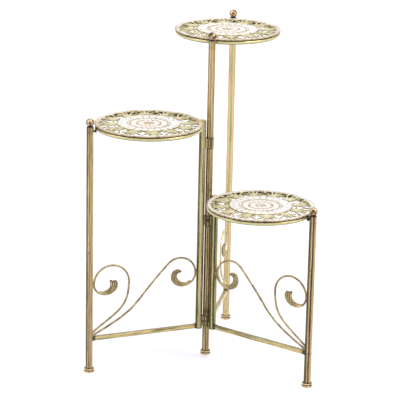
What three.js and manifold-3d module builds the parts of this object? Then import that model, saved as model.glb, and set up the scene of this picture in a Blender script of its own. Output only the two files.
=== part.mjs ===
// A three-tier plant stand in painted steel tube, in millimetres, +Z up.
// Three upright panels meet at a tall centre post. The rear panel is fixed to it, and the
// middle and low panels swing round it on sleeves. Each panel carries a round openwork tray
// that tilts on two pivot lugs, a square bottom rail and two scrolls with leaf ends.
import * as THREE from 'three';
import { mergeVertices } from 'three/addons/utils/BufferGeometryUtils.js';
import Module from 'manifold-3d';

const wasm = await Module();
wasm.setup();

// ---- driving dimensions (mm, degrees) ----
const postDiameter = 16;
const postWall = 1.2;
const hingeOffset = 18.5; // from the centre post's axis to a side panel's inner post
const rearAngle = 90;
const middleAngle = 213;
const lowAngle = 334;
const lowTrayHeight = 403; // top of the lowest tray above the floor
const tierStep = 175.5;
const trayDiameter = 242.3;
const trayClearance = 4.85; // between a tray's rim and each post
const trayShift = 11; // tray centre to panel plane, so the tray drops back to level by itself
const centreFootLift = 8; // the stand rests on its three outer feet
const seatGap = 0.3; // between pieces that touch
const runningGap = 0.4; // between a turning piece and what it turns on

const innerTopDrop = 7.5; // inner post's top below its tray's top
const outerTopDrop = 1.5; // outer post's top below its tray's top
const innerBottomHeight = 74;
const ballRadius = 9.3;
const ballNeckRadius = 5.5;
const ballNeckHeight = 2;
const ballSink = 1.1; // how far the ball is cut off by its neck
const capHeight = 1.6;

const footRadius = 12.4;
const footBaseRadius = 11.2;
const footWaistRadius = 10.6;
const footHeight = 9.5;
const footFloor = 4; // solid metal under the post
const footFlare = 1.2; // height of the slopes between the foot's base, flanges and waist
const footLip = 2; // height of the flange at the foot's mouth

const railSize = 9.5;
const railWall = 1.2;
const sideRailHeight = 80; // rail centre above the floor
const rearRailHeight = 74;

const sleeveWall = 1.2;
const longSleeveHeight = 24;
const shortSleeveHeight = 12;
const middleSleeveDrop = 49; // long sleeve's top below its tray's top
const lowSleeveDrop = 57;
const webWidth = 6; // the web that joins a sleeve to its post
const screwHoleRadius = 2.6;
const screwHoleAngle = -54; // round the sleeve, from its web
const screwHoleDrop = 9; // below the sleeve's top

const rimWidth = 9;
const rimThickness = 3;
const rimBevel = 0.6;
const borderThickness = 1.8;
const borderDrop = 0.8; // border's face below the rim's
const medallionRadius = 70;
const medallionBand = 8;
const medallionDish = 0.9;
const bossRadius = 14;
const bossFlatRadius = 12;
const leafCount = 12;
// half of a gap between two leaves: [share of the border's width, degrees to either side]
const gapOutline = [[0.04, 6], [0.24, 9.5], [0.42, 5], [0.74, 0]];
const ringBar = 8; // diameter of the bar under the rim
const lugThickness = 2;
const lugWidth = 9;
const lugHeight = 12;
const pivotRadius = 2.5;
const pivotDrop = 12; // pivot axis below the tray's top
const pivotReach = 6; // how far a pivot goes into its post

const scrollBar = 5; // diameter of a scroll's bar
const largeCurl = { radius: 39.5, centreHeight: 126, decay: 150, join: 45, leafTurn: 200 };
const smallCurl = { radius: 42, centreHeight: 123, decay: 95, join: 0, leafTurn: 190 };
// start: the way a stem leaves its foot, from +X in degrees; liftHeight: of the foot above the rail
const largeStem = { liftHeight: seatGap, start: 154, pullLength: 134, pushLength: 135 };
const smallStem = { liftHeight: 8.7, start: 142.5, pullLength: 71, pushLength: 65 };
const curlEndRadius = 9; // where the curl's outer edge would end up
const curlEasing = 40; // degrees over which a curl starts to close
const contactTurn = 180; // turn of the curl at which it touches its post
const barTurn = 27; // degrees past the post at which the bar ends and the leaf starts
const leafGap = 0.7; // between a bar's end and its leaf
const leafWidth = 18;
const leafThickness = 6;
const leafLobe = 3; // how far the leaf's end bulges
const leafWidest = 0.55; // share of its length at which a leaf is full width

const postSides = 16;
const ballSides = 12;
const ballRings = 6;
const holeSides = 12;
const trayFacets = 36;
const ringSides = 6;
const barSides = 6;
const stemSteps = 13;
const curlSteps = 13;
const leafSteps = 14;
const overshoot = 1; // how far a cutting body runs past what it cuts

// ---- dependent sizes ----
const postRadius = postDiameter / 2;
const boreRadius = postRadius - postWall;
const railHalf = railSize / 2;
const barRadius = scrollBar / 2;
const trayRadius = trayDiameter / 2;
// between the axes of a panel's two posts
const panelWidth = trayDiameter + postDiameter + 2 * trayClearance;
const trayHeights = {
  low: lowTrayHeight,
  middle: lowTrayHeight + tierStep,
  top: lowTrayHeight + 2 * tierStep,
};
const sleeveBore = postRadius + runningGap;
const sleeveRadius = sleeveBore + sleeveWall;
const ringMajor = trayRadius - seatGap - ringBar / 2;
const ringDrop = rimThickness + seatGap + ringBar / 2; // ring's centre below the tray's top
const ballPlug = pivotDrop - outerTopDrop - pivotRadius - runningGap; // down to the pivot
const capPlug = pivotDrop - innerTopDrop - pivotRadius - runningGap;
const radians = THREE.MathUtils.degToRad;
const degrees = THREE.MathUtils.radToDeg;

// ---- materials ----
function paint(color, roughness) {
  return new THREE.MeshStandardMaterial({ color, roughness, metalness: 0.6 });
}
const tubePaint = paint(0xb09a62, 0.38);
const castPaint = paint(0xa8985e, 0.45);
const hingePaint = paint(0x9c8a52, 0.42);
const trayPaint = paint(0xded6b4, 0.5);
const ringPaint = paint(0xb9b872, 0.4);

// ---- solids ----
function solid(geometry) {
  geometry.deleteAttribute('normal');
  geometry.deleteAttribute('uv');
  const merged = mergeVertices(geometry, 1e-4);
  const vertProperties = new Float32Array(merged.attributes.position.array);
  const triVerts = new Uint32Array(merged.index.array);
  const mesh = new wasm.Mesh({ numProp: 3, vertProperties, triVerts });
  return new wasm.Manifold(mesh);
}

function shapeOf(manifold) {
  const { vertProperties, triVerts } = manifold.getMesh();
  const geometry = new THREE.BufferGeometry();
  geometry.setAttribute('position', new THREE.BufferAttribute(vertProperties, 3));
  geometry.setIndex(new THREE.BufferAttribute(triVerts, 1));
  geometry.computeVertexNormals();
  return geometry;
}

// A turned piece from a profile of [radius, height] points, anticlockwise seen with the
// axis on the left. The profile starts and ends on the axis or closes on itself.
function turned(profile, sides) {
  const points = profile.map(([radius, height]) => new THREE.Vector2(radius, height));
  const geometry = new THREE.LatheGeometry(points, sides);
  geometry.rotateX(Math.PI / 2);
  return geometry;
}

function tube(radius, bore, bottom, top) {
  const wall = [[bore, bottom], [radius, bottom], [radius, top], [bore, top], [bore, bottom]];
  return turned(wall, postSides);
}

function drill(radius, length) {
  const rod = new THREE.CylinderGeometry(radius, radius, length, holeSides);
  rod.rotateZ(Math.PI / 2);
  return rod;
}

function place(mesh, x = 0, y = 0, z = 0, turn = 0) {
  mesh.position.set(x, y, z);
  mesh.rotation.z = radians(turn);
  return mesh;
}

function named(name, geometry, material) {
  const mesh = new THREE.Mesh(geometry, material);
  mesh.name = name;
  return mesh;
}

// ---- posts, balls, caps and feet ----
// holes: [height, direction in degrees] of the pivot holes through one wall
function post(name, bottom, top, holes) {
  let body = solid(tube(postRadius, boreRadius, bottom, top));
  for (const [height, direction] of holes) {
    const hole = drill(pivotRadius + runningGap, postRadius);
    hole.translate(boreRadius, 0, 0);
    hole.rotateZ(radians(direction));
    hole.translate(0, 0, height);
    body = body.subtract(solid(hole));
  }
  return named(name, shapeOf(body), tubePaint);
}

function ball(name) {
  const plugRadius = boreRadius - seatGap;
  const centre = ballNeckHeight + ballRadius - ballSink;
  const startAngle = Math.acos((ballRadius - ballSink) / ballRadius);
  const profile = [[0, -ballPlug], [plugRadius, -ballPlug], [plugRadius, 0]];
  profile.push([ballNeckRadius, 0], [ballNeckRadius, ballNeckHeight - seatGap]);
  for (let i = 0; i < ballRings; i += 1) {
    const angle = startAngle + ((Math.PI - startAngle) * i) / ballRings;
    profile.push([ballRadius * Math.sin(angle), centre - ballRadius * Math.cos(angle)]);
  }
  profile.push([0, centre + ballRadius]);
  return named(name, turned(profile, ballSides), castPaint);
}

function cap(name) {
  const plugRadius = boreRadius - seatGap;
  const profile = [
    [0, -capPlug],
    [plugRadius, -capPlug],
    [plugRadius, seatGap],
    [postRadius, seatGap],
    [postRadius, seatGap + capHeight / 2],
    [postRadius - capHeight, seatGap + capHeight],
    [0, seatGap + capHeight],
  ];
  return named(name, turned(profile, ballSides), castPaint);
}

// A spool-shaped foot with a socket for the post.
function foot(name) {
  const socket = postRadius + seatGap;
  const profile = [
    [0, 0],
    [footBaseRadius, 0],
    [footRadius, footFlare],
    [footRadius, footHeight / 2 - footFlare],
    [footWaistRadius, footHeight / 2],
    [footWaistRadius, footHeight - footLip - footFlare],
    [footRadius, footHeight - footLip],
    [footRadius, footHeight],
    [socket, footHeight],
    [socket, footFloor],
    [0, footFloor],
  ];
  return named(name, turned(profile, postSides), castPaint);
}

// ---- bottom rail ----
function rail(name) {
  const length = panelWidth - 2 * (postRadius + seatGap);
  const bore = railSize - 2 * railWall;
  const outside = solid(new THREE.BoxGeometry(length, railSize, railSize));
  const inside = solid(new THREE.BoxGeometry(length + railSize, bore, bore));
  return named(name, shapeOf(outside.subtract(inside)), tubePaint);
}

// ---- hinge sleeves ----
// A sleeve round the centre post, with a web towards its own panel's inner post.
function sleeve(name, height, withHole) {
  const webEnd = hingeOffset - postRadius - seatGap;
  const web = new THREE.BoxGeometry(webEnd - sleeveBore, webWidth, height);
  web.translate((sleeveBore + webEnd) / 2, 0, height / 2);
  const outside = tube(sleeveRadius, 0, 0, height);
  const bore = tube(sleeveBore, 0, -overshoot, height + overshoot);
  let body = solid(outside).add(solid(web)).subtract(solid(bore));
  if (withHole) {
    const hole = drill(screwHoleRadius, sleeveRadius);
    hole.translate(sleeveRadius, 0, 0);
    hole.rotateZ(radians(screwHoleAngle));
    hole.translate(0, 0, height - screwHoleDrop);
    body = body.subtract(solid(hole));
  }
  return named(name, shapeOf(body), hingePaint);
}

// ---- trays ----
function polar(radius, degrees) {
  const angle = radians(degrees);
  return new THREE.Vector2(radius * Math.cos(angle), radius * Math.sin(angle));
}

function opening(centre, outline) {
  return new THREE.Path(outline.map(([radius, degrees]) => polar(radius, centre + degrees)));
}

// The openwork border, with a gap between each two leaves.
function border() {
  const reach = trayRadius - rimWidth - medallionRadius;
  const at = (share) => medallionRadius + reach * share;
  const pitch = 360 / leafCount;
  const gap = [];
  for (const [share, half] of gapOutline) {
    gap.push([at(share), half]);
    if (half > 0) {
      gap.unshift([at(share), -half]);
    }
  }
  const middle = trayRadius - rimWidth / 2;
  const edge = [];
  for (let i = 0; i < trayFacets; i += 1) {
    edge.push(polar(middle, (360 * i) / trayFacets));
  }
  const plate = new THREE.Shape(edge);
  for (let i = 0; i < leafCount; i += 1) {
    plate.holes.push(opening(pitch * i, gap));
  }
  const geometry = new THREE.ExtrudeGeometry(plate, { depth: borderThickness, bevelEnabled: false });
  geometry.translate(0, 0, -borderDrop - borderThickness);
  return geometry;
}

function trayPlate(name) {
  const inner = trayRadius - rimWidth;
  const under = -borderDrop - borderThickness;
  const rim = turned([
    [inner, -rimThickness],
    [trayRadius, -rimThickness],
    [trayRadius, -rimBevel],
    [trayRadius - rimBevel, 0],
    [inner, 0],
    [inner, -rimThickness],
  ], trayFacets);
  const medallion = turned([
    [0, under - seatGap],
    [medallionRadius, under - seatGap],
    [medallionRadius, 0],
    [medallionRadius - medallionBand, 0],
    [medallionRadius - medallionBand - rimBevel, -medallionDish],
    [bossRadius, -medallionDish],
    [bossFlatRadius, 0],
    [0, 0],
  ], trayFacets);
  const plate = solid(border()).add(solid(rim)).add(solid(medallion));
  return named(name, shapeOf(plate), trayPaint);
}

function trayRing(name) {
  const profile = [];
  for (let i = 0; i <= ringSides; i += 1) {
    const angle = (2 * Math.PI * (i % ringSides)) / ringSides;
    profile.push([ringMajor + (ringBar / 2) * Math.sin(angle), -(ringBar / 2) * Math.cos(angle)]);
  }
  return named(name, turned(profile, trayFacets), ringPaint);
}

// A lug on the ring's side with the pivot that turns in the post's wall; +X is towards the post.
function pivotLug(name) {
  const ringFace = Math.sqrt((ringMajor + ringBar / 2) ** 2 - (trayShift - lugWidth / 2) ** 2);
  const plateStart = ringFace + seatGap;
  const plateTop = pivotDrop - ringDrop + ringBar / 2;
  const plate = new THREE.BoxGeometry(lugThickness, lugWidth, lugHeight);
  plate.translate(plateStart + lugThickness / 2, 0, plateTop - lugHeight / 2);
  const pivotEnd = panelWidth / 2 - postRadius + pivotReach;
  const pivotStart = plateStart + lugThickness / 2;
  const pivot = drill(pivotRadius, pivotEnd - pivotStart);
  pivot.translate((pivotStart + pivotEnd) / 2, 0, 0);
  return named(name, shapeOf(solid(plate).add(solid(pivot))), hingePaint);
}

// side: 1 or -1, the side of the panel's plane to which the tray's centre is shifted
function addTray(panel, name, innerX, height, side) {
  const middle = innerX + panelWidth / 2;
  panel.add(place(trayPlate(`${name}_tray_plate`), middle, side * trayShift, height));
  panel.add(place(trayRing(`${name}_tray_ring`), middle, side * trayShift, height - ringDrop));
  panel.add(place(pivotLug(`${name}_tray_outer_pivot`), middle, 0, height - pivotDrop));
  panel.add(place(pivotLug(`${name}_tray_inner_pivot`), middle, 0, height - pivotDrop, 180));
}

// ---- scrolls ----
// Distance from the curl's centre to its outer edge, after a turn from the curl's join.
function curlEdge(curl, turn) {
  const past = turn - contactTurn;
  const start = curl.radius + barRadius;
  let closing = 0;
  if (past > 0) {
    closing = past < curlEasing ? past ** 2 / (2 * curlEasing) : past - curlEasing / 2;
  }
  return curlEndRadius + (start - curlEndRadius) * Math.exp(-closing / curl.decay);
}

// A point of the curl's outer edge in the panel's plane, the way the edge runs on from there
// and the way in from it; side is 1 for a curl against the inner post.
function curlFrame(curl, side, turn) {
  const wallX = postRadius + seatGap + barRadius + curl.radius;
  const centreX = side > 0 ? wallX : panelWidth - wallX;
  const centreZ = sideRailHeight + railHalf + curl.centreHeight;
  const edgeAt = (degrees) => {
    const angle = radians(degrees);
    const radius = curlEdge(curl, degrees);
    const out = side * radius * Math.cos(angle);
    return new THREE.Vector2(centreX + out, centreZ + radius * Math.sin(angle));
  };
  const edge = edgeAt(turn);
  const ahead = 0.5; // degrees
  const along = edgeAt(turn + ahead).sub(edge).normalize();
  const inward = new THREE.Vector2(-side * along.y, side * along.x);
  return { edge, along, inward };
}

// The middle of the bar after a turn of the curl.
function curlPoint(curl, side, turn) {
  const { edge, inward } = curlFrame(curl, side, turn);
  return edge.addScaledVector(inward, barRadius);
}

// Middle points of a scroll's bar, from its foot at the outer post to where its leaf starts.
function barLine(curl, stem, side) {
  const leaving = radians(stem.start);
  const joining = radians(curl.join);
  const away = new THREE.Vector2(Math.cos(leaving), Math.sin(leaving));
  const back = new THREE.Vector2(side * Math.sin(joining), -Math.cos(joining));
  const foot = new THREE.Vector2(
    panelWidth - postRadius - seatGap - barRadius * away.y,
    sideRailHeight + railHalf + stem.liftHeight - barRadius * away.x,
  );
  const join = curlPoint(curl, side, curl.join);
  const pull = foot.clone().addScaledVector(away, stem.pullLength);
  const push = join.clone().addScaledVector(back, stem.pushLength);
  const line = new THREE.CubicBezierCurve(foot, pull, push, join).getSpacedPoints(stemSteps);
  for (let i = 1; i <= curlSteps; i += 1) {
    const share = i / curlSteps;
    line.push(curlPoint(curl, side, curl.join + share * (contactTurn - curl.join)));
  }
  line.push(curlPoint(curl, side, contactTurn + barTurn / 2));
  line.push(curlPoint(curl, side, contactTurn + barTurn));
  return line;
}

// A round bar along a line of points in the panel's plane.
function scroll(name, curl, stem, side) {
  const line = barLine(curl, stem, side);
  const last = line.length - 1;
  const vertices = [];
  for (let i = 0; i <= last; i += 1) {
    const before = line[Math.max(i - 1, 0)];
    const along = line[Math.min(i + 1, last)].clone().sub(before).normalize();
    for (let j = 0; j < barSides; j += 1) {
      const angle = (2 * Math.PI * j) / barSides;
      const across = barRadius * Math.cos(angle);
      vertices.push(line[i].x - along.y * across);
      vertices.push(barRadius * Math.sin(angle));
      vertices.push(line[i].y + along.x * across);
    }
  }
  const faces = [];
  for (let i = 0; i < last * barSides; i += 1) {
    const next = (i + 1) % barSides === 0 ? i + 1 - barSides : i + 1;
    faces.push(i, i + barSides, next, next, i + barSides, next + barSides);
  }
  const end = last * barSides;
  for (let j = 1; j < barSides - 1; j += 1) {
    faces.push(0, j, j + 1, end, end + j + 1, end + j);
  }
  const geometry = new THREE.BufferGeometry();
  geometry.setAttribute('position', new THREE.Float32BufferAttribute(vertices, 3));
  geometry.setIndex(faces);
  geometry.computeVertexNormals();
  return named(name, geometry, castPaint);
}

// The crescent leaf that closes a curl, drawn in the panel's plane and given its thickness.
function leaf(name, curl, side) {
  const barEnd = contactTurn + barTurn;
  const first = barEnd + degrees(leafGap / curlEdge(curl, barEnd));
  const outer = [];
  const inner = [];
  for (let i = 0; i <= leafSteps; i += 1) {
    const share = i / leafSteps;
    const { edge, along, inward } = curlFrame(curl, side, first + curl.leafTurn * share);
    const rise = 1 - (1 - Math.min(share / leafWidest, 1)) ** 2;
    const width = scrollBar + (leafWidth - scrollBar) * rise;
    outer.push(edge);
    inner.push(edge.clone().addScaledVector(inward, width));
    if (i === leafSteps) {
      const lobe = edge.clone().addScaledVector(inward, width / 2);
      outer.push(lobe.addScaledVector(along, leafLobe));
    }
  }
  const outline = new THREE.Shape(outer.concat(inner.reverse()));
  const geometry = new THREE.ExtrudeGeometry(outline, { depth: leafThickness, bevelEnabled: false });
  geometry.rotateX(Math.PI / 2);
  geometry.translate(0, leafThickness / 2, 0);
  return named(name, geometry, castPaint);
}

function addScrolls(panel, name, innerX, drop) {
  panel.add(place(scroll(`${name}_large_scroll`, largeCurl, largeStem, 1), innerX, 0, -drop));
  panel.add(place(scroll(`${name}_small_scroll`, smallCurl, smallStem, -1), innerX, 0, -drop));
  panel.add(place(leaf(`${name}_large_leaf`, largeCurl, 1), innerX, 0, -drop));
  panel.add(place(leaf(`${name}_small_leaf`, smallCurl, -1), innerX, 0, -drop));
}

// ---- panels ----
function rearPanel() {
  const panel = new THREE.Group();
  const top = trayHeights.top - outerTopDrop;
  const pivotHeight = trayHeights.top - pivotDrop;
  const socketFloor = footFloor + seatGap;
  panel.add(post('centre_post', centreFootLift + socketFloor, top, [[pivotHeight, 0]]));
  panel.add(place(post('rear_post', socketFloor, top, [[pivotHeight, 180]]), panelWidth));
  panel.add(place(ball('centre_ball'), 0, 0, top + seatGap));
  panel.add(place(ball('rear_ball'), panelWidth, 0, top + seatGap));
  panel.add(place(foot('centre_foot'), 0, 0, centreFootLift));
  panel.add(place(foot('rear_foot'), panelWidth));
  panel.add(place(rail('rear_rail'), panelWidth / 2, 0, rearRailHeight));
  addScrolls(panel, 'rear', 0, sideRailHeight - rearRailHeight);
  addTray(panel, 'top', 0, trayHeights.top, -1);
  panel.rotation.z = radians(rearAngle);
  return panel;
}

function sidePanel(name, angle, trayHeight, side, sleeves) {
  const panel = new THREE.Group();
  const inner = hingeOffset;
  const outer = inner + panelWidth;
  const innerTop = trayHeight - innerTopDrop;
  const outerTop = trayHeight - outerTopDrop;
  const pivotHeight = trayHeight - pivotDrop;
  const socketFloor = footFloor + seatGap;
  const innerPost = post(`${name}_inner_post`, innerBottomHeight, innerTop, [[pivotHeight, 0]]);
  const outerPost = post(`${name}_outer_post`, socketFloor, outerTop, [[pivotHeight, 180]]);
  panel.add(place(innerPost, inner));
  panel.add(place(outerPost, outer));
  panel.add(place(cap(`${name}_inner_cap`), inner, 0, innerTop));
  panel.add(place(ball(`${name}_ball`), outer, 0, outerTop + seatGap));
  panel.add(place(foot(`${name}_foot`), outer));
  panel.add(place(rail(`${name}_rail`), inner + panelWidth / 2, 0, sideRailHeight));
  for (const [part, height, bottom, withHole] of sleeves) {
    panel.add(place(sleeve(`${name}_${part}_sleeve`, height, withHole), 0, 0, bottom));
  }
  addScrolls(panel, name, inner, 0);
  addTray(panel, name, inner, trayHeight, side);
  panel.rotation.z = radians(angle);
  return panel;
}

// The short sleeves are stacked on the rear rail: the low panel's first, then the middle one's.
const lowShortBottom = rearRailHeight + railHalf + seatGap;
const middleShortBottom = lowShortBottom + shortSleeveHeight + seatGap;
const middleLongBottom = trayHeights.middle - middleSleeveDrop - longSleeveHeight;
const lowLongBottom = trayHeights.low - lowSleeveDrop - longSleeveHeight;

const stand = new THREE.Group();
stand.name = 'plant_stand';
stand.add(rearPanel());
stand.add(sidePanel('middle', middleAngle, trayHeights.middle, 1, [
  ['upper', longSleeveHeight, middleLongBottom, true],
  ['lower', shortSleeveHeight, middleShortBottom, false],
]));
stand.add(sidePanel('low', lowAngle, trayHeights.low, -1, [
  ['upper', longSleeveHeight, lowLongBottom, true],
  ['lower', shortSleeveHeight, lowShortBottom, false],
]));

// The origin is the middle of the stand's footprint, on the floor.
stand.updateMatrixWorld(true);
const box = new THREE.Box3().setFromObject(stand, true);
stand.position.set(-(box.min.x + box.max.x) / 2, -(box.min.y + box.max.y) / 2, 0);

export default stand;
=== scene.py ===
# Looks of the tiered plant stand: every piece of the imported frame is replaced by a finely
# modelled one in the same place, in antique gold paint with green, brown and whitewash.
# Lengths are in millimetres until a mesh is made, and in metres in materials and the studio.
import math

import bmesh
import bpy
import numpy as np
from mathutils import Matrix, Vector


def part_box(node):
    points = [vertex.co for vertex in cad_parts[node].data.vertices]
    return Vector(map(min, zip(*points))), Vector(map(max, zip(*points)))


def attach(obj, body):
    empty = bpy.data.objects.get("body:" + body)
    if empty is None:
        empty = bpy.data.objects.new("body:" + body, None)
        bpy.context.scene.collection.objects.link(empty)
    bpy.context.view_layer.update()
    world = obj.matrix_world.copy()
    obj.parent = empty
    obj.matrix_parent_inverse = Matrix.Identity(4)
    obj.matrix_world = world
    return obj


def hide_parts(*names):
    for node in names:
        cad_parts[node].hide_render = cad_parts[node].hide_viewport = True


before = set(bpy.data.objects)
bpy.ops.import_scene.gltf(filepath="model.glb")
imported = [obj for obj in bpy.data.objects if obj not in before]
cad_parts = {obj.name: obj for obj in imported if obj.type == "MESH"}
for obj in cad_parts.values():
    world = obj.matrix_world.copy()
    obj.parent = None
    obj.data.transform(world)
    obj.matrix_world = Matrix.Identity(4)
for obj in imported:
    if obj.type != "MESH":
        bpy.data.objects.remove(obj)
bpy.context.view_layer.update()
MM = 0.001
TAU = 2 * math.pi

# ---- sizes of the frame ----
POST_RADIUS = 8.0
BORE_RADIUS = 6.8
PANEL_WIDTH = 268.0
HINGE_OFFSET = 18.5
OUTER_TOP_DROP = 1.5
INNER_TOP_DROP = 7.5
INNER_BOTTOM = 74.0
CENTRE_LIFT = 8.0
FOOT_FLOOR = 4.3
RAIL_SIZE = 9.5
SIDE_RAIL_HEIGHT = 80.0
REAR_RAIL_HEIGHT = 74.0
SLEEVE_BORE = 8.4
SLEEVE_RADIUS = 9.6
SLEEVE_SEEN = 9.2  # the finished sleeve's radius, inside the frame's
LONG_SLEEVE = 24.0
SHORT_SLEEVE = 12.0
TRAY_RADIUS = 120.95
TRAY_SHIFT = 11.0
TRAY_THICKNESS = 3.0
RING_DROP = 7.3
RING_BAR = 4.0
RING_TALL = 4.4  # half the finished ring's height
RING_INSET = 0.3  # from the tray's edge to the ring's outside
PIVOT_DROP = 12.0
BAR_RADIUS = 2.5
LOW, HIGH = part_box("centre_post")
AXIS = ((LOW[0] + HIGH[0]) / 2 / MM, (LOW[1] + HIGH[1]) / 2 / MM)

# name: direction in degrees, first post's distance from the axis, tray top, tray side, rail
PANELS = {
    "rear": (90.0, 0.0, 754.0, -1, REAR_RAIL_HEIGHT),
    "middle": (213.0, HINGE_OFFSET, 578.5, 1, SIDE_RAIL_HEIGHT),
    "low": (334.0, HINGE_OFFSET, 403.0, -1, SIDE_RAIL_HEIGHT),
}
TRAY_NAMES = {"rear": "top", "middle": "middle", "low": "low"}


# ---- meshes ----
def turn(points, degrees, shift=(0.0, 0.0, 0.0)):
    """Points turned about +Z, then shifted."""
    a = math.radians(degrees)
    x = points[:, 0] * math.cos(a) - points[:, 1] * math.sin(a)
    y = points[:, 0] * math.sin(a) + points[:, 1] * math.cos(a)
    return np.column_stack([x, y, points[:, 2]]) + np.array(shift)


def to_row(points, panel, offset):
    """From a panel's frame (X outwards along the panel, Y across it) to the row's frame."""
    return turn(np.array(points) + np.array(offset, float), PANELS[panel][0], (*AXIS, 0.0))


def bell(x, centre, width):
    """1 at the centre, falling smoothly to 0 on both sides."""
    return np.exp(-(((x - centre) / width) ** 2))


def piece(name, points, faces, body, material, replaces, values, sharp=35.0):
    """One mesh object that rides on a body. values: attribute name to an array per point."""
    mesh = bpy.data.meshes.new(name)
    mesh.from_pydata((points * MM).tolist(), [], faces)
    for key, array in values.items():
        array = np.asarray(array, np.float32)
        kind = "FLOAT" if array.ndim == 1 else "FLOAT_VECTOR"
        layer = mesh.attributes.new(key, kind, "POINT")
        layer.data.foreach_set("value" if array.ndim == 1 else "vector", array.ravel())
    work = bmesh.new()
    work.from_mesh(mesh)
    bmesh.ops.remove_doubles(work, verts=work.verts, dist=2e-6)
    bmesh.ops.dissolve_degenerate(work, edges=work.edges, dist=1e-7)
    bmesh.ops.recalc_face_normals(work, faces=work.faces)
    work.to_mesh(mesh)
    work.free()
    mesh.shade_smooth()
    mesh.set_sharp_from_angle(angle=math.radians(sharp))
    mesh.materials.append(material)
    obj = bpy.data.objects.new(name, mesh)
    bpy.context.scene.collection.objects.link(obj)
    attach(obj, body)
    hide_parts(*replaces)


def tube_faces(rings, sides, closed=False):
    """Quads between rings of points, and from the last ring to the first if closed."""
    faces = []
    for i in range(rings if closed else rings - 1):
        first = i * sides
        second = (i + 1) % rings * sides
        for k in range(sides):
            n = (k + 1) % sides
            faces.append((first + k, first + n, second + n, second + k))
    return faces


def end_faces(rings, sides):
    """One face over each end of a tube."""
    last = (rings - 1) * sides
    return [tuple(range(sides)), tuple(range(last, last + sides))]


def flat_ends(rings, sides):
    """Quads over each end of a flat tube, whose rings run out on one face and back on the
    other."""
    faces = []
    for a in (0, (rings - 1) * sides):
        for k in range(sides // 2 - 1):
            faces.append((a + k, a + k + 1, a + sides - 2 - k, a + sides - 1 - k))
    return faces


def joined(points, faces, more, more_faces):
    """Two sets of points and faces as one."""
    faces = list(faces) + [tuple(p + len(points) for p in face) for face in more_faces]
    return np.vstack([points, more]), faces


def lathe(profile, sides):
    """Points and faces of a turned solid. The profile runs from the axis to the axis, or
    round to its first point again."""
    closed = profile[0] == profile[-1]
    rings = profile[:-1] if closed else profile
    ways = [TAU * k / sides for k in range(sides)]
    points = [(radius * math.cos(a), radius * math.sin(a), height)
              for radius, height in rings for a in ways]
    return np.array(points), tube_faces(len(rings), sides, closed)


def rounded(corners, radius, steps):
    """A profile with its marked corners rounded: corners are (r, z) or (r, z, share)."""
    out = []
    count = len(corners)
    for i, corner in enumerate(corners):
        size = radius * (corner[2] if len(corner) > 2 else 0.0)
        here = np.array(corner[:2], float)
        if size <= 0 or i in (0, count - 1):
            out.append(tuple(here))
            continue
        before = np.array(corners[i - 1][:2], float) - here
        after = np.array(corners[i + 1][:2], float) - here
        size = min(size, 0.49 * np.linalg.norm(before), 0.49 * np.linalg.norm(after))
        start = here + before / np.linalg.norm(before) * size
        end = here + after / np.linalg.norm(after) * size
        for k in range(steps + 1):
            t = k / steps
            point = (1 - t) ** 2 * start + 2 * t * (1 - t) * here + t**2 * end
            out.append(tuple(point))
    return out


def sweep(line, section, sizes):
    """A section, as (across, off) points, carried along a line of (x, z) points in a panel.
    sizes scales the section at each point of the line."""
    ahead = np.gradient(line, axis=0)
    ahead /= np.linalg.norm(ahead, axis=1)[:, None]
    normal = np.column_stack([-ahead[:, 1], ahead[:, 0]])
    points = []
    for here, across, size in zip(line, normal, sizes):
        for u, v in section * size:
            points.append((here[0] + across[0] * u, v, here[1] + across[1] * u))
    shape = (len(line), len(section))
    return np.array(points), tube_faces(*shape) + end_faces(*shape)


def along(line):
    """Distance run along a line of points."""
    return np.concatenate([[0.0], np.cumsum(np.linalg.norm(np.diff(line, axis=0), axis=1))])


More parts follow.
